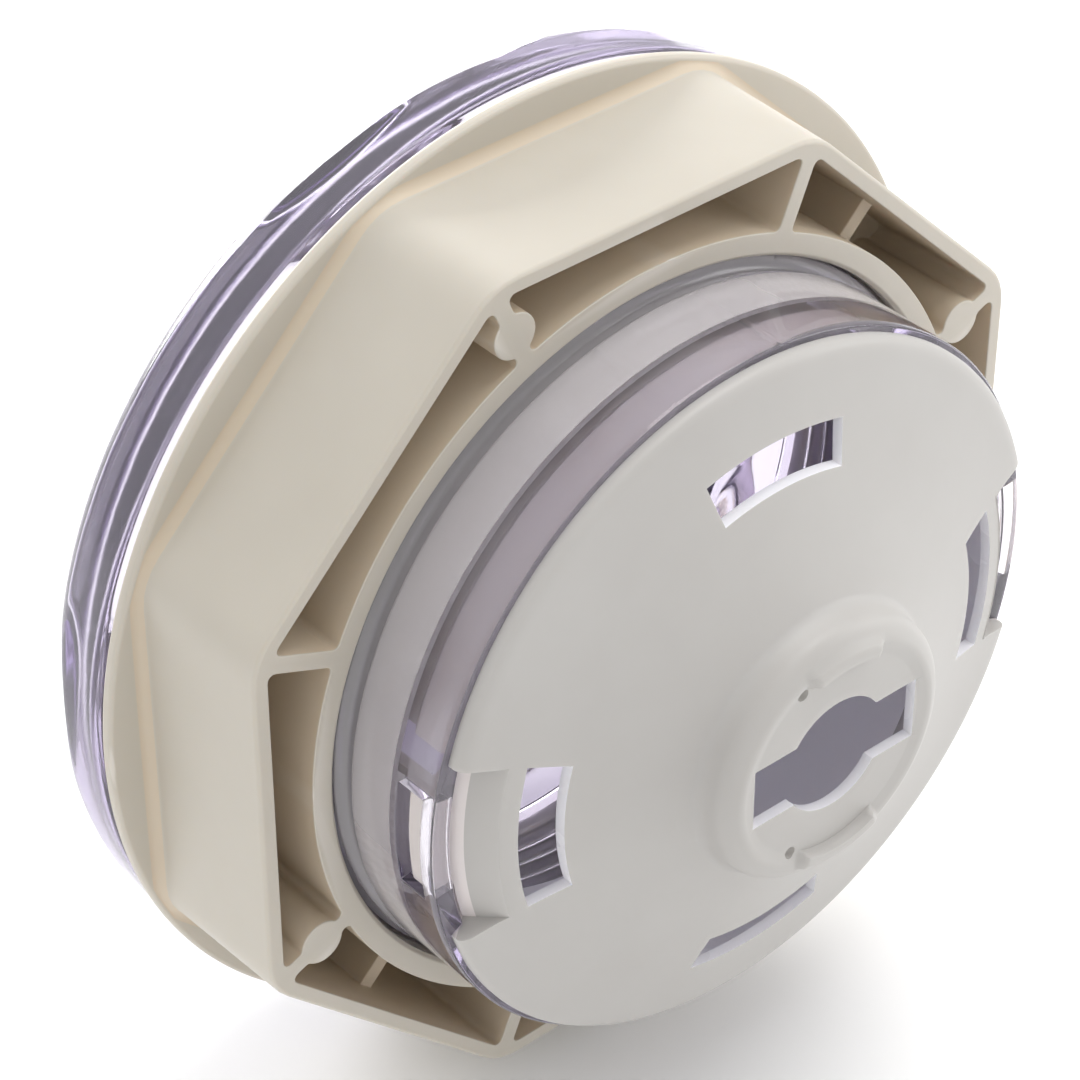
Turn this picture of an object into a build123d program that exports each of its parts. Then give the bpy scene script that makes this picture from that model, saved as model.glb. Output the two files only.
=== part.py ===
"""Rear-access lamp housing for the wall of a hot tub.

A clear lens body goes through the tub wall from the wet side. Behind the wall a gasket and an
octagonal ring nut clamp it, and a white reflector cap snaps into the open rear end of its barrel.

Every piece is drawn about a vertical axis first, with heights counted rearwards from the seating
face of the lens flange, and then laid down. In the finished frame the axis lies along Y, the rear
points along -Y, +Z is up, and the origin is the centre of the flange's seating face.
Lengths are millimetres and angles are degrees.
"""
from build123d import *
import os
from math import atan2, cos, degrees, radians, tan

# Working allowances: how far cutters and joined bodies run past the faces that they meet
overlap = 0.2
spill = 1.0
through = 200.0

# Flange of the lens body, on the wet side of the wall
flange_radius = 63.0
flange_depth = 11.2
flange_bullnose = 5.0
flange_rear_chamfer = 0.5
lens_crown = 12.0
lens_middle = (30.0, -11.75)
lens_wall = 3.2
scallop_count = 5
scallop_first_angle = 36
scallop_radius = 64.0
scallop_inner_radius = 51.0
scallop_rim_depth = 7.0
scallop_length = 48.0

# Barrel of the lens body, through the wall
barrel_radius = 46.3
barrel_bore_radius = 43.5
barrel_length = 39.0
thread_root_radius = 45.6
thread_root_rear = 24.4
thread_crest_radius = 47.2
thread_pitch = 2.5
thread_turns = 8
thread_start = 3.8
thread_ridge_width = 2.0
thread_crest_flat = 0.5
window_half_angle = 9.0
window_front = 32.6
window_rear = 36.9

# Gasket between flange and wall
gasket_bore_radius = 47.6
gasket_radius = 61.0
gasket_thickness = 1.6

# Octagonal ring nut
nut_bore_radius = 47.5
nut_lip_radius = 50.6
nut_wall = 2.0
nut_apothem = 57.8
nut_draft = 1.5
nut_corner_round = 8.0
nut_rear = 23.5
nut_flange_radius = 63.8
nut_flange_thickness = 1.8
nut_flange_round = 0.6
nut_floor = 5.0
nut_flare_height = 2.6
nut_flare_apothem = 60.0
nut_flare_corner_round = 30.0
nut_rib_width = 2.2
nut_rib_length = 20.0
nut_rib_overlap = 0.5
nut_boss_radius = 2.9
nut_boss_circle = 54.4
nut_boss_angles = (22.5, 112.5, 202.5, 292.5)
nut_low_rib_angles = (45, 225)
nut_low_rib_drop = 6.5

# Reflector cap
cap_rim_radius = 45.5
cap_wall = 1.6
cap_rim_thickness = 0.6
cap_rim_bulge = (45.0, 40.6)
cap_dome_start = (43.6, 41.3)
cap_dome_middle = (34.5, 43.9)
cap_dome_end = (19.2, 50.2)
cap_under_start = (16.7, 48.6)
cap_under_middle = (33.8, 42.3)
cap_under_end = (37.2, 41.0)
cap_corner_height = 37.4
cap_skirt_radius = 43.2
cap_skirt_front = 32.0
cap_skirt_step = 1.2
cap_sleeve_radius = 42.0
cap_bore_radius = 40.6
cap_sleeve_front = 17.5
notch_half_angle = 16.0
notch_floor_radius = 39.5
notch_floor_height = 43.0
notch_top_height = 46.0
notch_foot_radius = 42.9
notch_outer_radius = 47.0
tab_half_angle = 8.3
tab_slit_front = 28.0
tab_slit_radius = 45.0
tab_slit_inner_rear = 36.4
hook_reach = 45.4
hook_front = 33.2
hook_rear = 36.2
hook_bevel = 0.8
hook_root = 0.6
slot_half_angle = 16.0
slot_inner_radius = 31.9
slot_outer_radius = 37.2
slot_low = 36.0
slot_high = 60.0

# Bayonet hub of the cap
hub_base = (18.6, 50.9)
hub_shoulder = (17.4, 52.6)
hub_shoulder_bulge = (16.6, 54.45)
hub_top = 55.2
hub_bore_radius = 14.6
hub_floor = 53.3
hub_dish_depth = 0.8
keyhole_radius = 7.5
keyhole_wing_reach = 12.6
keyhole_wing_half_width = 4.2
lip_inner_radius = 12.9
lip_outer_radius = 15.4
lip_height = 0.9
lip_bevel_height = 0.4
lip_outer_bevel = 0.6
lip_root = 1.5
lip_sweep = 50
lip_angles = (88, 272)
dimple_angles = (116, 240)
dimple_radius = 0.8
dimple_depth = 0.7
dimple_circle = 13.0


def turned(outline, sweep=360):
    """Revolve a closed (radius, height) outline about the axis."""
    return revolve(Plane.XZ * make_face(outline), axis=Axis.Z, revolution_arc=sweep)


def ring(inner, outer, low, high):
    """Plain ring between two radii and two heights."""
    blank = Cylinder(outer, high - low, align=(Align.CENTER, Align.CENTER, Align.MIN))
    bore = Cylinder(inner, high - low, align=(Align.CENTER, Align.CENTER, Align.MIN))
    return Pos(0, 0, low) * (blank - bore)


def sector(points, middle_angle, half_angle):
    """Part of a turned body, half_angle to each side of middle_angle."""
    blank = turned(Polyline(*points, close=True), 2 * half_angle)
    return Rot(0, 0, middle_angle - half_angle) * blank


def octagon(apothem, corner_round):
    """Flat-sided octagon face with flats facing 0, 45, 90 degrees and so on."""
    face = RegularPolygon(apothem, 8, major_radius=False, rotation=22.5)
    return fillet(face.vertices(), corner_round)


def lay_down(piece):
    """Turn the drawing axis so that heights run along -Y."""
    return Rot(90, 0, 0) * piece


def make_lens_body():
    """Clear moulding: domed front lens, scalloped flange, threaded barrel and two snap windows."""
    front_edge = (flange_radius - flange_bullnose, -flange_depth)
    rim_edge = (flange_radius, flange_bullnose - flange_depth)
    corner = flange_bullnose * (1 - cos(radians(45)))
    dome = ThreePointArc((0, -lens_crown), lens_middle, front_edge)
    bullnose = ThreePointArc(front_edge, (flange_radius - corner, corner - flange_depth), rim_edge)
    lens_back = lens_wall - lens_crown
    rest = Polyline(
        rim_edge, (flange_radius, -flange_rear_chamfer), (flange_radius - flange_rear_chamfer, 0),
        (thread_root_radius, 0), (thread_root_radius, thread_root_rear), (barrel_radius, thread_root_rear),
        (barrel_radius, barrel_length), (barrel_bore_radius, barrel_length), (barrel_bore_radius, lens_back),
        (0, lens_back), (0, -lens_crown))
    body = turned(dome + bullnose + rest)

    root = thread_root_radius - overlap
    for turn in range(thread_turns):
        foot = thread_start + turn * thread_pitch
        crest = foot + thread_ridge_width / 2
        ridge = Polyline(
            (root, foot), (thread_crest_radius, crest - thread_crest_flat / 2),
            (thread_crest_radius, crest + thread_crest_flat / 2), (root, foot + thread_ridge_width), close=True)
        body += turned(ridge)

    reach = flange_radius - scallop_inner_radius
    rise = flange_depth - scallop_rim_depth
    lean = degrees(atan2(rise, reach))
    scoop = Cylinder(scallop_radius, scallop_length, rotation=(0, 90, 0))
    scoop = Rot(0, -lean, 0) * Pos(0, 0, -scallop_radius) * scoop
    scoop = Pos(scallop_inner_radius, 0, -flange_depth) * scoop
    for index in range(scallop_count):
        body -= Rot(0, 0, scallop_first_angle + index * 360 / scallop_count) * scoop

    for middle in (0, 180):
        opening = ((barrel_bore_radius - spill, window_front), (barrel_radius + spill, window_front),
                   (barrel_radius + spill, window_rear), (barrel_bore_radius - spill, window_rear))
        body -= sector(opening, middle, window_half_angle)
    return body


def make_flange_gasket():
    """Flat soft ring that seals the flange to the wall."""
    return ring(gasket_bore_radius, gasket_radius, 0, gasket_thickness)


def make_wall_nut():
    """Ivory ring nut: round flange, hollow octagonal grip, eight ribs, four of them with bosses."""
    front = gasket_thickness
    foot = front + nut_flange_thickness
    flare_top = foot + nut_flare_height
    grip_height = nut_rear - flare_top
    grip = Pos(0, 0, nut_rear) * extrude(octagon(nut_apothem, nut_corner_round), -grip_height, taper=-nut_draft)
    foot_apothem = nut_apothem + grip_height * tan(radians(nut_draft))
    flare = loft([
        Pos(0, 0, foot - nut_flange_round) * octagon(nut_flare_apothem, nut_flare_corner_round),
        Pos(0, 0, flare_top) * octagon(foot_apothem, nut_corner_round)])
    flange = Pos(0, 0, front) * Cylinder(
        nut_flange_radius, nut_flange_thickness, align=(Align.CENTER, Align.CENTER, Align.MIN))
    flange = fillet(flange.edges().filter_by(GeomType.CIRCLE), nut_flange_round)
    nut = grip + flare + flange
    pocket = octagon(nut_apothem - nut_wall, nut_corner_round - nut_wall)
    pocket_body = Pos(0, 0, nut_floor) * extrude(pocket, nut_rear - nut_floor + spill)
    pocket_body -= Cylinder(nut_lip_radius, through)
    inset = nut_lip_radius - nut_rib_overlap
    for index in range(8):
        angle = 22.5 + 45 * index
        rib = Pos(inset, 0, 0) * Box(
            nut_rib_length, nut_rib_width, through, align=(Align.MIN, Align.CENTER, Align.CENTER))
        pocket_body -= Rot(0, 0, angle) * rib
    for angle in nut_boss_angles:
        pocket_body -= Rot(0, 0, angle) * Pos(nut_boss_circle, 0, 0) * Cylinder(nut_boss_radius, through)
    for angle in nut_low_rib_angles:
        rib = Pos(inset, 0, nut_rear - nut_low_rib_drop) * Box(
            nut_rib_length, nut_rib_width, through, align=(Align.MIN, Align.CENTER, Align.MAX))
        pocket_body -= Rot(0, 0, angle) * rib
    nut -= pocket_body
    nut -= Cylinder(nut_bore_radius, through)
    return nut


def make_rear_cap():
    """White moulding: domed disc, skirt with two snap tabs, light sleeve and bayonet hub."""
    rim_underside = barrel_length
    rim_top = (cap_rim_radius, rim_underside + cap_rim_thickness)
    rim = Polyline((cap_rim_radius, rim_underside), rim_top)
    edge = ThreePointArc(rim_top, cap_rim_bulge, cap_dome_start)
    dome = ThreePointArc(cap_dome_start, cap_dome_middle, cap_dome_end)
    hub = Polyline(cap_dome_end, hub_base, hub_shoulder)
    shoulder = ThreePointArc(hub_shoulder, hub_shoulder_bulge, (hub_bore_radius, hub_top))
    dish = Polyline((hub_bore_radius, hub_top), (0, hub_top - hub_dish_depth), (0, hub_floor),
                    (hub_bore_radius, hub_floor), cap_under_start)
    under = ThreePointArc(cap_under_start, cap_under_middle, cap_under_end)
    inside = Polyline(
        cap_under_end, (cap_bore_radius, cap_corner_height), (cap_bore_radius, cap_sleeve_front),
        (cap_sleeve_radius, cap_sleeve_front), (cap_sleeve_radius, cap_skirt_front - cap_skirt_step),
        (cap_skirt_radius, cap_skirt_front), (cap_skirt_radius, rim_underside), (cap_rim_radius, rim_underside))
    cap = turned(rim + edge + dome + hub + shoulder + dish + under + inside)

    notch_foot = rim_underside - spill
    notch = ((notch_floor_radius, notch_top_height), (notch_floor_radius, notch_floor_height),
             (notch_foot_radius, notch_foot), (notch_outer_radius, notch_foot),
             (notch_outer_radius, notch_top_height))
    slit = ((cap_bore_radius - spill, tab_slit_front), (tab_slit_radius, tab_slit_front),
            (tab_slit_radius, rim_underside + overlap), (cap_bore_radius - spill, tab_slit_inner_rear))
    slit_half_angle = (notch_half_angle - tab_half_angle) / 2
    slit_middle = (notch_half_angle + tab_half_angle) / 2
    hook_inner = cap_skirt_radius - hook_root
    hook = ((hook_inner, hook_front), (hook_reach - hook_bevel, hook_front), (hook_reach, hook_front + hook_bevel),
            (hook_reach, hook_rear), (hook_inner, hook_rear))
    for middle in (0, 180):
        cap -= sector(notch, middle, notch_half_angle)
        for side in (-1, 1):
            cap -= sector(slit, middle + side * slit_middle, slit_half_angle)
        cap += sector(hook, middle, tab_half_angle)
    slot = ((slot_inner_radius, slot_low), (slot_outer_radius, slot_low),
            (slot_outer_radius, slot_high), (slot_inner_radius, slot_high))
    for middle in (0, 90, 180, 270):
        cap -= sector(slot, middle, slot_half_angle)

    lip_foot = hub_top - lip_root
    lip_bevel = hub_top + lip_bevel_height
    lip_top = hub_top + lip_height
    lip = ((lip_inner_radius, lip_foot), (lip_outer_radius, lip_foot), (lip_outer_radius, lip_bevel),
           (lip_outer_radius - lip_outer_bevel, lip_top), (lip_inner_radius + lip_bevel_height, lip_top),
           (lip_inner_radius, lip_bevel))
    for middle in lip_angles:
        cap += sector(lip, middle, lip_sweep / 2)
    keyhole = Cylinder(keyhole_radius, through)
    keyhole += Box(2 * keyhole_wing_reach, 2 * keyhole_wing_half_width, through)
    cap -= keyhole
    for angle in dimple_angles:
        drill = Pos(dimple_circle, 0, hub_top - dimple_depth) * Cylinder(
            dimple_radius, through, align=(Align.CENTER, Align.CENTER, Align.MIN))
        cap -= Rot(0, 0, angle) * drill
    return cap


os.makedirs("parts", exist_ok=True)
pieces = {
    "lens_body": make_lens_body(),
    "flange_gasket": make_flange_gasket(),
    "wall_nut": make_wall_nut(),
    "rear_cap": make_rear_cap(),
}
for name, piece in pieces.items():
    export_step(lay_down(piece), f"parts/{name}.step")
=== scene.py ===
"""Rear-access light housing for a hot tub wall, standing on the rim of its flange.

The clear lens body passes through the wall, the ring nut clamps it from behind, and the white
reflector cap closes its rear end. The barrel's axis is Y and the rear points along -Y.
Sizes are millimetres and degrees, and depths count rearwards from the flange's seating face.
"""
from math import asin, atan2, cos, degrees, pi, radians, sin, sqrt, tan

import bmesh
import bpy
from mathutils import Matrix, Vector


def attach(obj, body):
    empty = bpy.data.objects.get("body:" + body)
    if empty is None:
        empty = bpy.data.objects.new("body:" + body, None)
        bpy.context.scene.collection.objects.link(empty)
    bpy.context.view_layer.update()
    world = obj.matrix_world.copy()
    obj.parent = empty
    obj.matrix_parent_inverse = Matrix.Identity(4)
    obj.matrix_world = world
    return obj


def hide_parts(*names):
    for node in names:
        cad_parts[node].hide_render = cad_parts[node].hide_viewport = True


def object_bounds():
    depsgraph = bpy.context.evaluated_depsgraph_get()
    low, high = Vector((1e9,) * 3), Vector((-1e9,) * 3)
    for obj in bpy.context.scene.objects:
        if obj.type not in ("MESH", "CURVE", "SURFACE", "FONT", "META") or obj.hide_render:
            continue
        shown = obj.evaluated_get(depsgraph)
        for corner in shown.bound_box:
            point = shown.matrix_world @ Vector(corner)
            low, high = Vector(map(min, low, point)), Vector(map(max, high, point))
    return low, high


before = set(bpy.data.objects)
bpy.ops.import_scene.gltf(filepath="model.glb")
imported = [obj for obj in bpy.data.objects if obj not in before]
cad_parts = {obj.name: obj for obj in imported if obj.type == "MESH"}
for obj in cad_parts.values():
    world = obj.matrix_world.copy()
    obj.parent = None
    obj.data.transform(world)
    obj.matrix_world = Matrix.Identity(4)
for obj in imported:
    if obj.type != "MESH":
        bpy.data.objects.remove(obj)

cad_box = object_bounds()

# ---------------------------------------------------------------------------------------------
# Clear lens body. One injection moulding of clear plastic with a faint lavender tint: a shallow
# domed lens, a thick flange with five finger scoops, and a barrel with a moulded thread that ends
# in two latch windows. The wall and the nut grip it between the flange and the thread.
MM = 0.001
weld_distance = 0.004 * MM
edge_gap = 0.001

flange_radius = 63.0
flange_depth = 11.2
flange_bullnose = 5.0
flange_rear_edge = 0.5
lens_crown = 12.0
lens_wall = 3.2
lens_centre = 3.0
lens_rings = (lens_centre, 8, 14, 20, 26, 32, 38, 43)
lens_fillet = 2.0
barrel_outer = 46.3
barrel_bore = 43.5
barrel_end = 39.0
barrel_edge = 0.3
barrel_root_edge = 0.6
barrel_step = 0.5
thread_root = 45.6
thread_crest = 47.2
thread_pitch = 2.5
thread_from = 3.8
thread_to = 23.6
thread_run_out = 1.6
thread_flank = 0.4
thread_flat = 1.3
thread_shoulder = 24.4
scoop_count = 5
scoop_first = 36
scoop_radius = 64.0
scoop_heel = 51.0
scoop_drop = 4.2
scoop_blend = 0.5
window_half = 9.0
window_from = 32.6
window_to = 36.9
seam_angles = (85.0, 104.0)
seam_height = 0.12
seam_half = 0.4
stipple_size = 2.4
stipple_height = 0.16
stipple_margin = 2.5
hazed_from = 2.0
frosted_from = 23.6
frosted_to = 31.8
skin_band = 0.1


def at(radius, angle, depth):
    """Point of a turned part, with its angle as seen from the rear."""
    return Vector((radius * cos(radians(angle)), -depth, radius * sin(radians(angle)))) * MM


def stations(step, *edges):
    """Angles round a part at an even step, with a pair of them tight round each feature's edge."""
    pairs = [edge + side for edge in edges for side in (-edge_gap, edge_gap)]
    even = [-45 + index * step for index in range(round(360 / step))]
    even = [angle for angle in even if all(abs(angle - edge) > step / 4 for edge in edges)]
    return sorted(even + pairs)


def run(start, end, spacing):
    """Points along a straight stretch of a section, without its first point."""
    length = Vector(end) - Vector(start)
    count = max(1, round(length.length / spacing))
    return [tuple(Vector(start) + length * (index + 1) / count) for index in range(count)]


def arc(centre, radius, first, last, count):
    """Points along a round stretch of a section; 0 degrees faces outwards and 90 rearwards."""
    turns = [radians(first + (last - first) * index / count) for index in range(count + 1)]
    return [(centre[0] + radius * cos(turn), centre[1] + radius * sin(turn)) for turn in turns]


def link(name, mesh):
    """Object made from a mesh under construction, with its faces turned outwards."""
    bmesh.ops.remove_doubles(mesh, verts=mesh.verts, dist=weld_distance)
    bmesh.ops.dissolve_degenerate(mesh, edges=mesh.edges, dist=weld_distance)
    bmesh.ops.recalc_face_normals(mesh, faces=mesh.faces)
    data = bpy.data.meshes.new(name)
    mesh.to_mesh(data)
    mesh.free()
    piece = bpy.data.objects.new(name, data)
    bpy.context.scene.collection.objects.link(piece)
    return piece


def turned(name, angles, section, windows=(), closed=True):
    """Turned part whose section may change with the angle.

    Each window is (first angle, last angle, outer row, inner row, count): it joins a run of rows on
    the outside to the equal run that faces it on the inside, and leaves the wall open between them.
    """
    mesh = bmesh.new()
    grid = [[mesh.verts.new(at(radius, angle, depth)) for radius, depth in section(angle)]
            for angle in angles]
    columns, rows = len(grid), len(grid[0])
    gone = set()
    for first, last, outer, inner, count in windows:
        inside = [index for index, angle in enumerate(angles)
                  if first - 2 * edge_gap <= angle <= last + 2 * edge_gap]
        for index in inside[:-1]:
            gone.update((index, outer + row) for row in range(count))
            gone.update((index, inner + row) for row in range(count))
            for far, near in ((outer, inner + count), (outer + count, inner)):
                mesh.faces.new([grid[index][far], grid[index + 1][far],
                                grid[index + 1][near], grid[index][near]])
        for index in (inside[0], inside[-1]):
            for row in range(count):
                near = inner + count - row
                mesh.faces.new([grid[index][outer + row], grid[index][outer + row + 1],
                                grid[index][near - 1], grid[index][near]])
    for index in range(columns):
        following = grid[(index + 1) % columns]
        for row in range(rows if closed else rows - 1):
            after = (row + 1) % rows
            if (index, row) not in gone:
                mesh.faces.new([grid[index][row], grid[index][after], following[after], following[row]])
    if not closed:
        mesh.faces.new([column[0] for column in grid])
        mesh.faces.new([column[-1] for column in reversed(grid)])
    return link(name, mesh)


def settle(piece, kind, **values):
    """Apply one modifier to a piece and keep its result."""
    change = piece.modifiers.new(kind, kind)
    for key, value in values.items():
        setattr(change, key, value)
    graph = bpy.context.evaluated_depsgraph_get()
    result = bpy.data.meshes.new_from_object(
        piece.evaluated_get(graph), preserve_all_data_layers=True, depsgraph=graph)
    piece.modifiers.clear()
    old = piece.data
    piece.data = result
    bpy.data.meshes.remove(old)


def round_edges(piece, width, sharper_than=35):
    """Break the sharp edges as a mould does, and shade the rest smooth."""
    settle(piece, "BEVEL", width=width * MM, segments=3, limit_method="ANGLE",
           angle_limit=radians(sharper_than), use_clamp_overlap=True)
    piece.data.shade_smooth()
    settle(piece, "WEIGHTED_NORMAL", weight=60, keep_sharp=True)


def thread_height(angle, depth):
    """Height of the right-handed thread above its root, running out at both ends."""
    phase = ((depth - angle / 360 * thread_pitch) / thread_pitch) % 1.0
    flank = max(0.0, 1 - abs(phase - 0.5) / thread_flank)
    profile = min(1.0, flank * thread_flat)
    fade = min(depth - thread_from, thread_to - depth) / thread_run_out
    return (thread_crest - thread_root) * profile * min(1.0, max(0.0, fade))


def scooped(radius, angle, depth):
    """Depth of the flange's front after the finger scoops are taken from it."""
    turn = 360 / scoop_count
    offset = radians((angle - scoop_first + turn / 2) % turn - turn / 2)
    along, across = radius * cos(offset), radius * sin(offset)
    floor_line = -flange_depth + scoop_drop * (along - scoop_heel) / (flange_radius - scoop_heel)
    scoop = floor_line - scoop_radius + sqrt(scoop_radius ** 2 - across ** 2)
    gap = max(0.0, 1 - abs(depth - scoop) / scoop_blend)
    return max(depth, scoop) + scoop_blend * gap * gap / 4


def stipple(radius, angle):
    """Height of the pillowed diamonds that spread the light, moulded on the lens's inner face."""
    across, up = radius * cos(radians(angle)), radius * sin(radians(angle))
    fade = min(1.0, max(0.0, (barrel_bore - stipple_margin - radius) / 2))
    return fade * stipple_height * cos(2 * pi * across / stipple_size) * cos(2 * pi * up / stipple_size)


def lens_section(angle):
    """Section of the lens body, from the front's centre round the flange and barrel to the inside."""
    nose = (flange_radius - flange_bullnose, flange_bullnose - flange_depth)
    front = [(radius, -lens_crown + (lens_crown - flange_depth) * (radius / nose[0]) ** 2)
             for radius in lens_rings]
    front += run(front[-1], (nose[0], -flange_depth), 0.75)
    front += arc(nose, flange_bullnose, -90, 0, 12)[1:]
    front = [(radius, scooped(radius, angle, depth)) for radius, depth in front]
    rim = run(front[-1], (flange_radius, -flange_rear_edge), 1.5)
    rim += run(rim[-1], (flange_radius - flange_rear_edge, 0), 1)
    back = run(rim[-1], (thread_root + barrel_root_edge, 0), 2.5) + [(thread_root, barrel_root_edge)]
    thread = run(back[-1], (thread_root, thread_shoulder), 0.3)
    thread = [(radius + thread_height(angle, depth), depth) for radius, depth in thread]
    seam = seam_height if any(abs(angle - place) < 0.1 for place in seam_angles) else 0.0
    barrel = [(barrel_outer, thread_shoulder + barrel_step)]
    barrel += [(radius + seam, depth) for radius, depth in run(barrel[-1], (barrel_outer, window_from), 1.0)]
    barrel += run((barrel_outer + seam, window_from), (barrel_outer + seam, window_to), 1.1)
    barrel += run((barrel_outer + seam, window_to), (barrel_outer, barrel_end - barrel_edge), 0.9)
    lip = [(barrel_outer - barrel_edge, barrel_end), (barrel_bore + barrel_edge, barrel_end),
           (barrel_bore, barrel_end - barrel_edge)]
    bore = run(lip[-1], (barrel_bore, window_to), 0.9)
    bore += run(bore[-1], (barrel_bore, window_from), 1.1)
    lens_back = lens_wall - lens_crown
    bore += run(bore[-1], (barrel_bore, lens_back + lens_fillet), 1.5)
    bore += arc((barrel_bore - lens_fillet, lens_back + lens_fillet), lens_fillet, 0, -90, 5)[1:]
    inside = run(bore[-1], (lens_centre, lens_back), 0.6)
    inside = [(radius, depth + stipple(radius, angle)) for radius, depth in inside]
    return front + rim + back + thread + barrel + lip + bore + inside


def row_of(section, radius, depth):
    """Number of the section's row nearest to a point."""
    def distance(row):
        return abs(section[row][0] - radius) + abs(section[row][1] - depth)

    return min(range(len(section)), key=distance)


plain = lens_section(45)
window_rows = row_of(plain, barrel_outer, window_to) - row_of(plain, barrel_outer, window_from)
lens_windows = [(middle - window_half, middle + window_half, row_of(plain, barrel_outer, window_from),
                 row_of(plain, barrel_bore, window_to), window_rows) for middle in (0, 180)]
window_edges = [middle + side for middle in (0, 180) for side in (-window_half, window_half)]
seam_edges = [place + side for place in seam_angles for side in (-seam_half, 0.0, seam_half)]
lens_body = turned("clear_lens_body", stations(1.0, *window_edges, *seam_edges), lens_section,
                   lens_windows, closed=False)
round_edges(lens_body, 0.2, sharper_than=50)


def new_material(name):
    """Empty node material with its surface shader, and functions that add and join nodes."""
    material = bpy.data.materials.new(name)
    material.use_nodes = True
    tree = material.node_tree
    shader = tree.nodes["Principled BSDF"]

    def node(kind, **values):
        made = tree.nodes.new("ShaderNode" + kind)
        for key, value in values.items():
            if key in made.inputs:
                made.inputs[key].default_value = value
            else:
                setattr(made, key, value)
        return made

    def join(source, output, target, entry):
        tree.links.new(source.outputs[output], target.inputs[entry])

    return material, shader, node, join


def mottled(node, join, shader, colours, scale, roughness, coordinates, detail=4.0):
    """Slow drift of a moulding's colour and gloss, the marks of its flow in the mould."""
    drift = node("TexNoise", Scale=scale, Detail=detail, Roughness=0.6)
    join(coordinates, "Object", drift, "Vector")
    tint = node("ValToRGB")
    tint.color_ramp.elements[0].position = 0.3
    tint.color_ramp.elements[1].position = 0.7
    tint.color_ramp.elements[0].color = (*colours[0], 1)
    tint.color_ramp.elements[1].color = (*colours[1], 1)
    join(drift, "Fac", tint, "Fac")
    gloss = node("MapRange")
    gloss.inputs["To Min"].default_value = roughness[0]
    gloss.inputs["To Max"].default_value = roughness[1]
    join(drift, "Fac", gloss, "Value")
    join(gloss, "Result", shader, "Roughness")
    return tint


diamond_pitch = 1.9
diamonds_round = 75


def clear_plastic(name, colours, roughness, transmission, diamonds=0):
    """Clear plastic whose tint deepens with its thickness; diamonds is their number round the bore."""
    material, shader, node, join = new_material(name)
    coordinates = node("TexCoord")
    tint = mottled(node, join, shader, colours, 40, roughness, coordinates)
    join(tint, "Color", shader, "Base Color")
    shader.inputs["Transmission Weight"].default_value = transmission
    shader.inputs["IOR"].default_value = 1.5
    ripple = node("TexNoise", Scale=160, Detail=2.0)
    join(coordinates, "Object", ripple, "Vector")
    relief = node("Bump", Strength=0.08, Distance=0.0004)
    join(ripple, "Fac", relief, "Height")
    join(relief, "Normal", shader, "Normal")
    if diamonds:
        axes = node("SeparateXYZ")
        join(coordinates, "Object", axes, "Vector")
        turn = node("Math", operation="ARCTAN2")
        join(axes, "Z", turn, 0)
        join(axes, "X", turn, 1)
        waves = []
        for lean in (1, -1):
            around = node("Math", operation="MULTIPLY")
            around.inputs[1].default_value = lean * diamonds
            join(turn, "Value", around, 0)
            slope = node("Math", operation="MULTIPLY_ADD")
            slope.inputs[1].default_value = pi / (diamond_pitch * MM)
            join(axes, "Y", slope, 0)
            join(around, "Value", slope, 2)
            wave = node("Math", operation="SINE")
            join(slope, "Value", wave, 0)
            waves.append(wave)
        cell = node("Math", operation="MULTIPLY")
        join(waves[0], "Value", cell, 0)
        join(waves[1], "Value", cell, 1)
        pillow = node("Bump", Strength=0.3, Distance=0.0002)
        join(cell, "Value", pillow, "Height")
        join(relief, "Normal", pillow, "Normal")
        join(pillow, "Normal", shader, "Normal")
    depth_tint = node("VolumeAbsorption", Density=22)
    depth_tint.inputs["Color"].default_value = (0.63, 0.54, 0.79, 1)
    join(depth_tint, "Volume", material.node_tree.nodes["Material Output"], "Volume")
    return material


polished = clear_plastic(
    "clear lavender plastic", ((0.91, 0.88, 0.94), (0.95, 0.93, 0.965)), (0.02, 0.07), 0.95)
stippled = clear_plastic(
    "stippled lavender plastic", ((0.97, 0.96, 0.98), (1.0, 0.995, 1.0)), (0.2, 0.3), 1.0)
frosted = clear_plastic(
    "frosted lavender plastic", ((0.96, 0.93, 0.93), (0.99, 0.97, 0.97)), (0.3, 0.45), 0.12, diamonds_round)
hazed = clear_plastic(
    "hazed lavender plastic", ((0.92, 0.89, 0.91), (0.97, 0.94, 0.95)), (0.08, 0.16), 0.7)
for finish in (polished, stippled, frosted, hazed):
    lens_body.data.materials.append(finish)
for face in lens_body.data.polygons:
    centre = face.center / MM
    radius, depth = centre.xz.length, -centre.y
    on_lens = radius < barrel_bore - barrel_step and depth > lens_wall - lens_crown - 1
    on_bore = abs(radius - barrel_bore) < skin_band and frosted_from < depth < frosted_to
    on_thread = radius > thread_root - skin_band and hazed_from < depth < frosted_to
    face.material_index = 2 if on_bore else 3 if on_thread else 1 if on_lens else 0
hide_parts("lens_body")
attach(lens_body, "housing")

# ---------------------------------------------------------------------------------------------
# Flange gasket. A flat ring of soft white rubber between the flange and the wall. It is cut a
# little smaller than the flange, and its outer edge bulges slightly where the nut squeezes it.
gasket_inner = 47.6
gasket_outer = 61.0
gasket_thick = 1.6
gasket_gap = 0.02
gasket_waves = ((0.05, 7, 0), (0.04, 13, 40))
gasket_trim = 0.1


def gasket_section(angle):
    """Squeezed section of the gasket, with an edge that wanders by a tenth of a millimetre."""
    wander = sum(size * sin(radians(angle * count + start)) for size, count, start in gasket_waves)
    half = gasket_thick / 2
    outer = arc((gasket_outer - half - gasket_trim + wander, half), half - gasket_gap, -90, 90, 10)
    inner = arc((gasket_inner + half, half), half - gasket_gap, 90, 270, 8)
    return outer + run(outer[-1], inner[0], 3.0)[:-1] + inner + run(inner[-1], outer[0], 3.0)[:-1]


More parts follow.
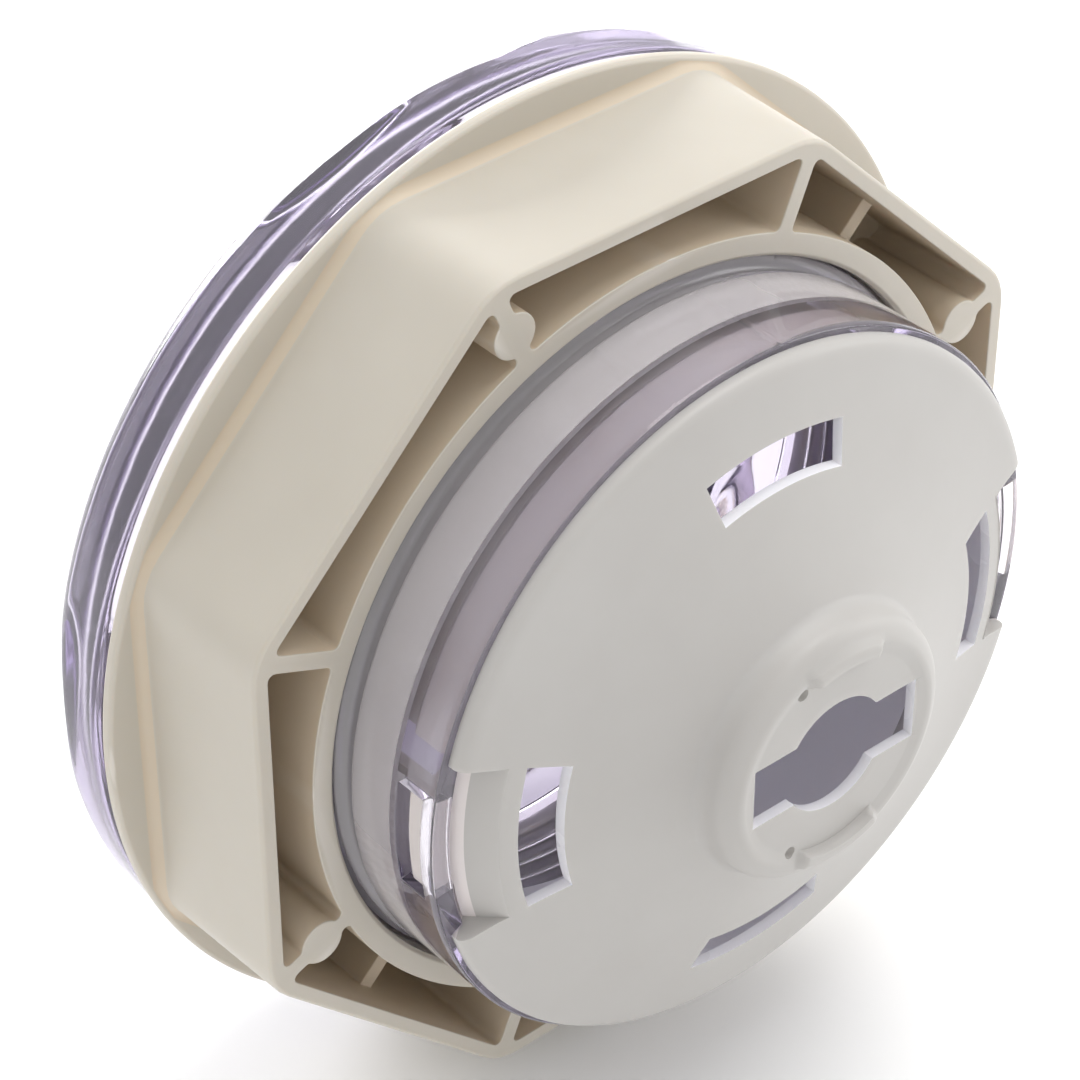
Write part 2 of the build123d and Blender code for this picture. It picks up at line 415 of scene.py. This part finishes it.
gasket = turned("soft_flange_gasket", stations(2.0), gasket_section)
gasket.data.shade_smooth()
rubber, shader, node, join = new_material("soft white rubber")
coordinates = node("TexCoord")
tint = mottled(node, join, shader, ((0.66, 0.62, 0.65), (0.72, 0.68, 0.71)), 90, (0.6, 0.8), coordinates)
join(tint, "Color", shader, "Base Color")
grain = node("TexNoise", Scale=2500, Detail=3.0)
join(coordinates, "Object", grain, "Vector")
relief = node("Bump", Strength=0.35, Distance=0.0001)
join(grain, "Fac", relief, "Height")
join(relief, "Normal", shader, "Normal")
gasket.data.materials.append(rubber)
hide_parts("flange_gasket")
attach(gasket, "gasket")

# ---------------------------------------------------------------------------------------------
# Ring nut. An ivory moulding that screws along the barrel: a round flange that sweeps up into an
# eight-sided grip for a strap wrench, hollowed by eight pockets so that no wall is thick. A rib
# stands at every corner, and four of them carry the round bosses that the ejector pins push on.
nut_front = 1.6
nut_rear = 23.5
nut_bore = 47.5
nut_lip = 50.6
nut_wall = 2.0
nut_apothem = 57.8
nut_draft = 1.5
nut_corner = 8.0
nut_flange_radius = 63.8
nut_flange_thick = 1.8
nut_flange_edge = 0.6
nut_floor = 5.0
nut_sweep_height = 1.4
nut_top_edge = 0.55
nut_bore_edge = 0.5
nut_groove = 0.7
groove_run_out = 2.0
nut_round = 0.3
half_turn = 22.5
shelf_shade = 1.4
shelf_skin = 0.05
rib_half = 1.1
boss_radius = 2.9
boss_circle = 54.4
boss_sides = (1, 3, 5, 7)
low_rib_angles = (45, 225)
low_rib_drop = 6.5
low_rib_root = 0.6
pocket_corner = 1.3
pocket_lip_corner = 0.7
pocket_lip_reach = 51.1
boss_root = 0.4
boss_reach = 57.5
cutter_top = nut_rear + 3


def octagon_radius(angle, apothem, corner):
    """Distance from the axis to the side of an octagon with rounded corners."""
    offset = abs(radians((angle + half_turn) % 45 - half_turn))
    half_side = (apothem - corner) * tan(radians(half_turn))
    if apothem * tan(offset) <= half_side:
        return apothem / cos(offset)
    reach = (apothem - corner) / cos(radians(half_turn))
    lean = radians(half_turn) - offset
    return reach * cos(lean) + sqrt(corner ** 2 - (reach * sin(lean)) ** 2)


def nut_side(angle, depth):
    """Outer radius of the grip: drafted flats with a sweeping fillet where they meet the flange."""
    apothem = nut_apothem + (nut_rear - depth) * tan(radians(nut_draft))
    side = octagon_radius(angle, apothem, nut_corner)
    foot = nut_front + nut_flange_thick
    rise = (depth - foot) / nut_sweep_height
    if rise >= 1:
        return side
    top = nut_flange_radius - nut_flange_edge
    reach = min(top - side, nut_sweep_height)
    return side + max(0.0, reach) * (1 - sqrt(1 - (1 - rise) ** 2))


def nut_section(angle):
    """Section of the solid nut, from the bore's front edge round the flange to its rear edge."""
    foot = nut_front + nut_flange_thick
    edge = nut_flange_radius - nut_flange_edge
    mouth = nut_bore + nut_bore_edge
    front = [(mouth, nut_front)] + run((mouth, nut_front), (edge, nut_front), 4)
    rim = arc((edge, nut_front + nut_flange_edge), nut_flange_edge, -90, 0, 5)[1:]
    rim += arc((edge, foot - nut_flange_edge), nut_flange_edge, 0, 90, 5)
    inner = min(nut_side(angle, foot), edge - 0.02)
    shelf = [(rim[-1][0] + (inner - rim[-1][0]) * part / 3, foot) for part in (1, 2, 3)]
    turns = [90 * index / 14 for index in range(1, 15)]
    sweep = [foot + nut_sweep_height * (1 - cos(radians(turn))) for turn in turns]
    sweep = [(min(nut_side(angle, depth), edge - 0.01), depth) for depth in sweep]
    top = nut_rear - nut_top_edge
    wall = [(nut_side(angle, depth), depth) for _, depth in run((0, sweep[-1][1]), (0, top), 2.5)]
    crown = arc((wall[-1][0] - nut_top_edge, top), nut_top_edge, 0, 90, 4)[1:]
    high, low = nut_rear - nut_bore_edge, nut_front + nut_bore_edge
    bore = [(mouth, nut_rear), (nut_bore, high)]
    groove = []
    for _, depth in run((0, high), (0, low), 0.4):
        wave = 0.5 + 0.5 * cos(2 * pi * (depth / thread_pitch - angle / 360))
        fade = min(1, (high - depth) / groove_run_out, (depth - low) / groove_run_out)
        groove.append((nut_bore + nut_groove * wave * fade, depth))
    return front + rim + shelf + sweep + wall + crown + bore + groove


def pocket(side):
    """Cutter for the pocket between two corners, with rounded upright corners and boss cut-outs."""
    outline = []
    for end in (-1, 1):
        corner = radians(end * half_turn)
        along = Vector((cos(corner), sin(corner)))
        inward = Vector((sin(corner), -cos(corner))) * end
        index = (side + (0 if end < 0 else 1)) % 8
        path = []
        start = sqrt(nut_lip ** 2 - rib_half ** 2)
        outer = nut_apothem - nut_wall
        reach = (outer - inward.x * rib_half) / along.x
        path.append(along * start + inward * rib_half)
        if index in boss_sides:
            gap = degrees(asin(rib_half / boss_radius))
            for step in range(13):
                turn = radians(180 - gap - (180 - 2 * gap) * step / 12)
                round_boss = along * cos(turn) + inward * sin(turn)
                path.append(along * boss_circle + round_boss * boss_radius)
        path.append(along * reach + inward * rib_half)
        outline += path if end < 0 else path[::-1]
    sweep_from, sweep_to = atan2(outline[-1].y, outline[-1].x), atan2(outline[0].y, outline[0].x)
    for step in range(1, 24):
        turn = sweep_from + (sweep_to - sweep_from) * step / 24
        outline.append(Vector((cos(turn), sin(turn))) * nut_lip)
    mesh = bmesh.new()
    middle = 45 * side
    rings = [[mesh.verts.new(at(point.length, middle + degrees(atan2(point.y, point.x)), depth))
              for point in outline] for depth in (nut_floor, cutter_top)]
    mesh.faces.new(rings[0])
    mesh.faces.new(rings[1][::-1])
    for index in range(len(outline)):
        after = (index + 1) % len(outline)
        mesh.faces.new([rings[0][index], rings[1][index], rings[1][after], rings[0][after]])
    bmesh.ops.recalc_face_normals(mesh, faces=mesh.faces)
    corners = ((pocket_lip_reach, boss_reach, boss_root), (0, pocket_lip_reach, pocket_lip_corner),
               (boss_reach, nut_flange_radius, pocket_corner))
    for nearest, farthest, corner in corners:
        uprights = [edge for edge in mesh.edges
                    if abs(edge.verts[0].co.y - edge.verts[1].co.y) > MM
                    and nearest * MM < edge.verts[0].co.xz.length < farthest * MM
                    and edge.calc_face_angle() > radians(30)]
        bmesh.ops.bevel(mesh, geom=uprights, offset=corner * MM, segments=4, profile=0.5,
                        affect="EDGES", clamp_overlap=False)
    return link(f"pocket_{side}", mesh)


def combine(piece, tool, operation):
    """Cut a tool from a piece, or weld it on, and drop the tool."""
    settle(piece, "BOOLEAN", operation=operation, object=tool, solver="EXACT")
    bpy.data.objects.remove(tool)


nut_angles = stations(1.5, *[half_turn + 45 * side for side in range(-1, 7)])
nut = turned("ivory_ring_nut", nut_angles, nut_section)
mesh = bmesh.new()
mesh.from_mesh(nut.data)
top = [face for face in mesh.faces if all(abs(vert.co.y / MM + nut_rear) < edge_gap for vert in face.verts)]
for side in range(8):
    group = []
    for face in top:
        centre = face.calc_center_median()
        if abs((degrees(atan2(centre.z, centre.x)) - 45 * side + 180) % 360 - 180) < half_turn:
            group.append(face)
    bmesh.ops.dissolve_faces(mesh, faces=group, use_verts=False)
    top = [face for face in top if face.is_valid]
mesh.to_mesh(nut.data)
mesh.free()
for side in range(8):
    combine(nut, pocket(side), "DIFFERENCE")


def low_rib(angle):
    """Short cross rib low in a pocket, with its ends buried in the lip and the outer wall."""
    mesh = bmesh.new()
    bmesh.ops.create_cube(mesh, size=1.0)
    inner, outer = nut_lip - low_rib_root, nut_apothem - nut_wall + low_rib_root
    low, high = nut_floor - low_rib_root, nut_rear - low_rib_drop
    for vert in mesh.verts:
        radius = (inner + outer) / 2 + vert.co.x * (outer - inner)
        across = vert.co.z * 2 * rib_half
        depth = (low + high) / 2 + vert.co.y * (high - low)
        turn = angle + degrees(atan2(across, radius))
        vert.co = at(sqrt(radius ** 2 + across ** 2), turn, depth)
    bmesh.ops.recalc_face_normals(mesh, faces=mesh.faces)
    return link("low_rib", mesh)


for angle in low_rib_angles:
    combine(nut, low_rib(angle), "UNION")
round_edges(nut, nut_round, sharper_than=40)


def ivory_plastic(name, colours, edge_highlight_colour, roughness):
    """Ivory plastic, slightly translucent, with a painted highlight that makes its sharp convex edges paler.
    """
    material, shader, node, join = new_material(name)
    coordinates = node("TexCoord")
    tint = mottled(node, join, shader, colours, 22, roughness, coordinates)
    # Painted highlight: where the surface is sharply convex (high pointiness), the colour is mixed towards
    # the paler edge colour.
    geometry = node("NewGeometry")
    painted_edge_highlight = node("MapRange")
    painted_edge_highlight.inputs["From Min"].default_value = 0.52
    painted_edge_highlight.inputs["From Max"].default_value = 0.62
    join(geometry, "Pointiness", painted_edge_highlight, "Value")
    edges = node("Mix", data_type="RGBA")
    edges.inputs["B"].default_value = edge_highlight_colour
    join(painted_edge_highlight, "Result", edges, "Factor")
    join(tint, "Color", edges, "A")
    join(edges, "Result", shader, "Base Color")
    shader.inputs["Subsurface Weight"].default_value = 0.15
    shader.inputs["Subsurface Radius"].default_value = (1.0, 0.7, 0.4)
    shader.inputs["Subsurface Scale"].default_value = 0.002
    skin = node("TexNoise", Scale=700, Detail=3.0)
    join(coordinates, "Object", skin, "Vector")
    relief = node("Bump", Strength=0.12, Distance=0.0001)
    join(skin, "Fac", relief, "Height")
    join(relief, "Normal", shader, "Normal")
    return material


nut.data.materials.append(ivory_plastic(
    "ivory satin plastic", ((0.53, 0.49, 0.42), (0.58, 0.54, 0.47)), (0.64, 0.60, 0.54, 1), (0.34, 0.5)))
# The second ivory is painted shade: a darker, warmer copy of the same plastic that stands in for shade and
# bounced light in the recesses.
nut.data.materials.append(ivory_plastic(
    "ivory painted pocket shade", ((0.60, 0.505, 0.385), (0.64, 0.55, 0.43)), (0.64, 0.56, 0.45, 1), (0.45, 0.6)))
# Painted shade: the pocket walls and floors, and a thin band of the shelf along the crease at each flat's
# foot, take the darker copy.
shelf_depth = nut_front + nut_flange_thick
for face in nut.data.polygons:
    centre = face.center / MM
    radius, depth = centre.xz.length, -centre.y
    side = nut_side(degrees(atan2(centre.z, centre.x)), max(depth, shelf_depth + nut_sweep_height))
    in_pocket = nut_bore + 1.5 < radius < side - 1.0 and nut_floor - 0.5 < depth < nut_rear - 0.6
    shelf_rim = min(side + shelf_shade, nut_flange_radius - nut_flange_edge)
    low_on_sweep = shelf_depth - shelf_skin < depth < shelf_depth + nut_sweep_height * 0.7
    on_shelf = side - 0.1 < radius < shelf_rim and low_on_sweep
    if in_pocket or on_shelf:
        face.material_index = 1
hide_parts("wall_nut")
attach(nut, "nut")

# ---------------------------------------------------------------------------------------------
# Reflector cap. A thin white moulding that closes the barrel: a dished disc with four light slots,
# a sleeve and skirt that slide inside the barrel, two spring latches that snap into its windows,
# and a raised hub with the keyhole and cam lips of a quarter-turn lamp holder.
cap_rim = 45.5
cap_rim_low = 39.8
cap_rim_rows = 13
cap_disc_edge = 43.6
cap_disc_edge_depth = 41.3
cap_rim_bulge = ((44.7, 41.1), (cap_rim, 40.6))
cap_rim_seat = 44.2
cap_rim_edge = 0.3
cap_rim_gap = 0.03
disc_outer_rings = (40.8, 42.2)
disc_under_rings = (39.3, 38.2)
disc_under_inner = 19.5
cap_corner = 36.9
cap_round = 0.2
cap_sleeve = 42.0
cap_skirt = 43.2
cap_bore = 40.6
cap_front = 17.5
skirt_front = 32.0
skirt_step = 29.5
notch_half = 16.0
notch_inner = 39.5
notch_depth = 43.0
notch_foot = (42.9, 38.0)
notch_chamfer = 0.6
latch_half = 8.3
slit_front = 28.0
latch_reach = 45.4
latch_from = 33.2
latch_to = 36.2
latch_bevel = 0.8
latch_shoulder = 0.6
slot_half = 16.0
slot_inner = 31.9
slot_outer = 37.2
disc_wall = 1.5
hub_foot = (18.4, 50.3)
hub_shoulder = (17.3, 52.8)
hub_top = 55.2
hub_floor = 53.3
hub_bore = 14.6
hub_brow = (15.4, 54.95)
hub_brow_pulls = ((16.4, 54.5), (17.2, 53.9))
hub_foot_pulls = ((17.4, 51.6), (17.8, 50.8))
hub_hollow = ((17.0, hub_floor - 1.8), (15.6, hub_floor - 0.3))
floor_dip = 0.5
keyhole_round = 7.5
keyhole_wing = 12.6
keyhole_wing_half = 4.2
lip_inner = 12.9
lip_outer = 15.4
lip_rise = 0.85
lip_spans = ((64, 112), (246, 300))
lip_ramp = 5.0
dimple_places = (116, 240)
dimple_circle = 13.0
dimple_size = 0.8
inner_painted_light_to = 36.0


def bezier(start, pull, push, end, count):
    """Points along a smooth curve of a section, without its first point."""
    corners = (start, pull, push, end)
    points = []
    for index in range(1, count + 1):
        t = index / count
        weights = ((1 - t) ** 3, 3 * t * (1 - t) ** 2, 3 * t * t * (1 - t), t ** 3)
        points.append(tuple(sum(weight * corner[axis] for weight, corner in zip(weights, corners))
                            for axis in (0, 1)))
    return points


disc_start = (cap_disc_edge, cap_disc_edge_depth)
dome_curve = [disc_start] + bezier(disc_start, (36.0, 42.9), (26.5, 46.2), hub_foot, 60)


def dome(radius):
    """Depth of the disc's outer face at a radius."""
    for (r1, d1), (r2, d2) in zip(dome_curve, dome_curve[1:]):
        if r2 <= radius <= r1:
            return d1 + (d2 - d1) * (r1 - radius) / (r1 - r2)
    return dome_curve[-1][1] if radius < dome_curve[-1][0] else dome_curve[0][1]


def keyhole(angle):
    """Distance from the axis to the keyhole's edge: a round hole with two square wings."""
    turn = radians(angle)
    wing = min(keyhole_wing / max(abs(cos(turn)), 1e-6), keyhole_wing_half / max(abs(sin(turn)), 1e-6))
    return max(keyhole_round, wing)


def cap_section(angle):
    """Section of the cap, from the keyhole's edge over the hub and disc, round the rim and back inside."""
    turn = (angle + 180) % 360 - 180
    offset = min(abs(turn), abs(abs(turn) - 180))
    in_notch = offset < notch_half
    at_latch = offset < latch_half
    edge = keyhole(angle)
    inside_lip = max(min(angle % 360 - first, last - angle % 360) for first, last in lip_spans)
    ramp = min(1.0, max(0.0, inside_lip / lip_ramp))
    lip = ramp * ramp * (3 - 2 * ramp)
    rise = lip_rise * lip
    floor = hub_top - floor_dip
    top = [(edge + (lip_inner - 0.05 - edge) * index / 4, floor) for index in range(5)]
    top += [(lip_inner, floor + rise * 0.75), (lip_inner + 0.35, floor + rise + floor_dip * lip),
            (lip_outer - 1.2, hub_top + rise - floor_dip * 0.3 * (1 - lip)),
            (lip_outer - 0.5, hub_top - 0.05 + rise * 0.7), hub_brow]
    top = [(max(radius, edge), depth) for radius, depth in top]
    shoulder = bezier(hub_brow, *hub_brow_pulls, hub_shoulder, 5)
    shoulder += bezier(hub_shoulder, *hub_foot_pulls, hub_foot, 4)
    radii = [hub_foot[0] + (slot_inner - hub_foot[0]) * index / 10 for index in range(1, 11)]
    radii += [slot_inner + (slot_outer - slot_inner) * index / 4 for index in range(1, 5)]
    radii += [slot_outer + (notch_inner - slot_outer) * index / 2 for index in (1, 2)]
    disc = [(radius, dome(radius)) for radius in radii]
    if in_notch:
        rim = [(notch_inner, notch_depth - notch_chamfer)]
        rim += run(rim[0], notch_foot, 0.75)
        rim = (rim + [notch_foot] * cap_rim_rows)[:cap_rim_rows]
    else:
        rim = [(radius, dome(radius)) for radius in (*disc_outer_rings, cap_disc_edge)]
        rim += bezier(disc_start, *cap_rim_bulge, (cap_rim, cap_rim_low), 5)
        ledge = barrel_end + cap_rim_gap
        rim += [(cap_rim, barrel_end + 0.05), (cap_rim - cap_rim_edge, ledge), (cap_rim_seat, ledge),
                (cap_skirt, ledge), (cap_skirt, notch_foot[1])]
    reach = latch_reach if at_latch else cap_skirt
    bevel = latch_bevel if at_latch else 0
    skirt = [(cap_skirt, latch_to + latch_shoulder), (cap_skirt, latch_to), (reach, latch_to),
             (reach, latch_from + latch_bevel), (reach - bevel, latch_from), (cap_skirt, latch_from),
             (cap_skirt, skirt_front + 0.3), (cap_sleeve, skirt_front - 1.0), (cap_sleeve, skirt_step),
             (cap_sleeve, slit_front)]
    sleeve = run((cap_sleeve, slit_front), (cap_sleeve, cap_front), 1.5)
    inside = [(cap_bore, cap_front)] + run((cap_bore, cap_front), (cap_bore, slit_front), 1.5)
    inside += [(cap_bore, slit_front + (cap_corner - slit_front) * (index + 1) / len(skirt))
               for index in range(len(skirt))]
    radii = [*disc_under_rings, slot_outer]
    radii += [slot_outer + (slot_inner - slot_outer) * index / 4 for index in range(1, 5)]
    radii += [slot_inner + (disc_under_inner - slot_inner) * index / 8 for index in range(1, 9)]
    under = [(radius, dome(radius) - disc_wall) for radius in radii]
    hollow = [*hub_hollow, (hub_bore, hub_floor)]
    hollow += [(edge + (hub_bore - 0.2 - edge) * index / 3, hub_floor) for index in (2, 1, 0)]
    return top + shoulder + disc + rim + skirt + sleeve + inside + under + hollow


plain = cap_section(45)
slot_row = row_of(plain, slot_inner, dome(slot_inner))
slot_under = row_of(plain, slot_outer, dome(slot_outer) - disc_wall)
foot_row = row_of(plain, cap_skirt, notch_foot[1])
slit_rows = row_of(plain, cap_sleeve, slit_front) - foot_row
slit_inner = row_of(plain, cap_bore, slit_front)
cap_windows = [(middle - slot_half, middle + slot_half, slot_row, slot_under, 4)
               for middle in (0, 90, 180, 270)]
for middle in (0, 180):
    for first, last in ((-notch_half, -latch_half), (latch_half, notch_half)):
        cap_windows.append((middle + first + 2 * edge_gap, middle + last - 2 * edge_gap,
                            foot_row, slit_inner, slit_rows))
wing_corner = degrees(atan2(keyhole_wing_half, keyhole_wing))
wing_root = degrees(asin(keyhole_wing_half / keyhole_round))
cap_edges = set()
for middle in (0, 180):
    for half in (notch_half, latch_half, wing_corner, wing_root):
        cap_edges.update((middle - half, middle + half))
for middle in (90, 270):
    cap_edges.update((middle - slot_half, middle + slot_half))
cap = turned("white_reflector_cap", stations(1.0, *sorted(cap_edges)), cap_section, cap_windows)
round_edges(cap, cap_round, sharper_than=40)


def dimple(angle):
    """Cutter for a shallow round dimple that an ejector pin leaves beside the keyhole."""
    mesh = bmesh.new()
    bmesh.ops.create_uvsphere(mesh, u_segments=24, v_segments=12, radius=dimple_size * MM)
    centre = at(dimple_circle, angle, hub_top - floor_dip)
    for vert in mesh.verts:
        vert.co = centre + vert.co
    return link("dimple", mesh)


for angle in dimple_places:
    combine(cap, dimple(angle), "DIFFERENCE")


def white_plastic(name, colours, roughness):
    """Opaque white plastic with a fine moulded skin."""
    material, shader, node, join = new_material(name)
    coordinates = node("TexCoord")
    tint = mottled(node, join, shader, colours, 25, roughness, coordinates)
    join(tint, "Color", shader, "Base Color")
    shader.inputs["Subsurface Weight"].default_value = 0.2
    shader.inputs["Subsurface Radius"].default_value = (1.0, 0.9, 0.8)
    shader.inputs["Subsurface Scale"].default_value = 0.002
    skin = node("TexNoise", Scale=900, Detail=3.0)
    join(coordinates, "Object", skin, "Vector")
    relief = node("Bump", Strength=0.1, Distance=0.0001)
    join(skin, "Fac", relief, "Height")
    join(relief, "Normal", shader, "Normal")
    return material


cap.data.materials.append(white_plastic(
    "white satin plastic", ((0.47, 0.452, 0.432), (0.51, 0.495, 0.475)), (0.36, 0.5)))
# The skirt and inner whites are the same plastic as the outer face, painted light: paler copies that stand
# in for the light reaching these faces through the clear barrel and lens, the inner one with a painted lilac
# tint of that light.
cap.data.materials.append(white_plastic(
    "white skirt painted light", ((0.72, 0.665, 0.65), (0.76, 0.705, 0.69)), (0.25, 0.4)))
cap.data.materials.append(white_plastic(
    "white inner painted light", ((0.92, 0.91, 0.94), (0.94, 0.93, 0.96)), (0.2, 0.35)))
# Painted light: faces inside the barrel take the paler skirt white, and the hidden inner faces, with the
# slot and keyhole walls, take the palest white.
for face in cap.data.polygons:
    centre = face.center / MM
    radius, depth = centre.xz.length, -centre.y
    outside = dome(radius) if radius > hub_foot[0] else hub_top - floor_dip
    hole = keyhole(degrees(atan2(centre.z, centre.x)))
    hidden = depth < inner_painted_light_to or depth < dome(max(radius, hub_foot[0])) - disc_wall + 0.2
    in_opening = radius < hole + 0.1 or 31 < radius < 38
    wall = abs(face.normal.y) < 0.5 and depth < outside - 0.15 and in_opening
    if radius < cap_bore + 0.2 and (hidden or wall):
        face.material_index = 2
    elif depth < barrel_end and radius < cap_rim - 0.1:
        face.material_index = 1
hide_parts("rear_cap")
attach(cap, "housing")

# ---------------------------------------------------------------------------------------------
# Studio. A plain pale floor that the housing stands on by its rim, soft lights from above, from in
# front of the lens and from the right, and the camera behind the housing, above and to the left.
floor_size = 6.0
floor_colours = ((0.93, 0.93, 0.93), (0.95, 0.95, 0.95))
sky_strength = 0.8
camera_place = (-0.23414, -0.27624, 0.27605)
camera_aim = (0.5169, 0.6026, -0.6080)
camera_lens = 124.13

floor_mesh = bmesh.new()
bmesh.ops.create_grid(floor_mesh, x_segments=4, y_segments=4, size=floor_size)
floor_data = bpy.data.meshes.new("studio_floor")
floor_mesh.to_mesh(floor_data)
floor_mesh.free()
floor_sheet = bpy.data.objects.new("studio_floor", floor_data)
bpy.context.scene.collection.objects.link(floor_sheet)
floor_sheet.location.z = cad_box[0].z
paper, shader, node, join = new_material("pale paper")
coordinates = node("TexCoord")
tint = mottled(node, join, shader, floor_colours, 6, (0.7, 0.8), coordinates)
join(tint, "Color", shader, "Base Color")
floor_data.materials.append(paper)

world = bpy.data.worlds.new("studio")
world.use_nodes = True
sky = world.node_tree.nodes["Background"]
sky.inputs["Color"].default_value = (1.0, 1.0, 1.0, 1)
sky.inputs["Strength"].default_value = sky_strength
bpy.context.scene.world = world
bpy.context.scene.view_settings.view_transform = "Standard"


def soft_light(name, place, size, power):
    """Square studio light aimed at the middle of the housing."""
    data = bpy.data.lights.new(name, "AREA")
    data.size = size
    data.energy = power
    lamp = bpy.data.objects.new(name, data)
    lamp.location = place
    lamp.rotation_euler = (-Vector(place)).to_track_quat("-Z", "Y").to_euler()
    bpy.context.scene.collection.objects.link(lamp)


soft_light("overhead", (0.25, -0.05, 0.9), 0.6, 4.0)
soft_light("front_of_lens", (0.25, 0.95, 0.10), 0.9, 22)
soft_light("right_side", (0.9, -0.5, 0.45), 0.5, 2.0)

camera_data = bpy.data.cameras.new("camera")
camera_data.sensor_width = 36
camera_data.lens = camera_lens
camera = bpy.data.objects.new("camera", camera_data)
camera.location = camera_place
camera.rotation_euler = Vector(camera_aim).to_track_quat("-Z", "Y").to_euler()
bpy.context.scene.collection.objects.link(camera)
bpy.context.scene.camera = camera
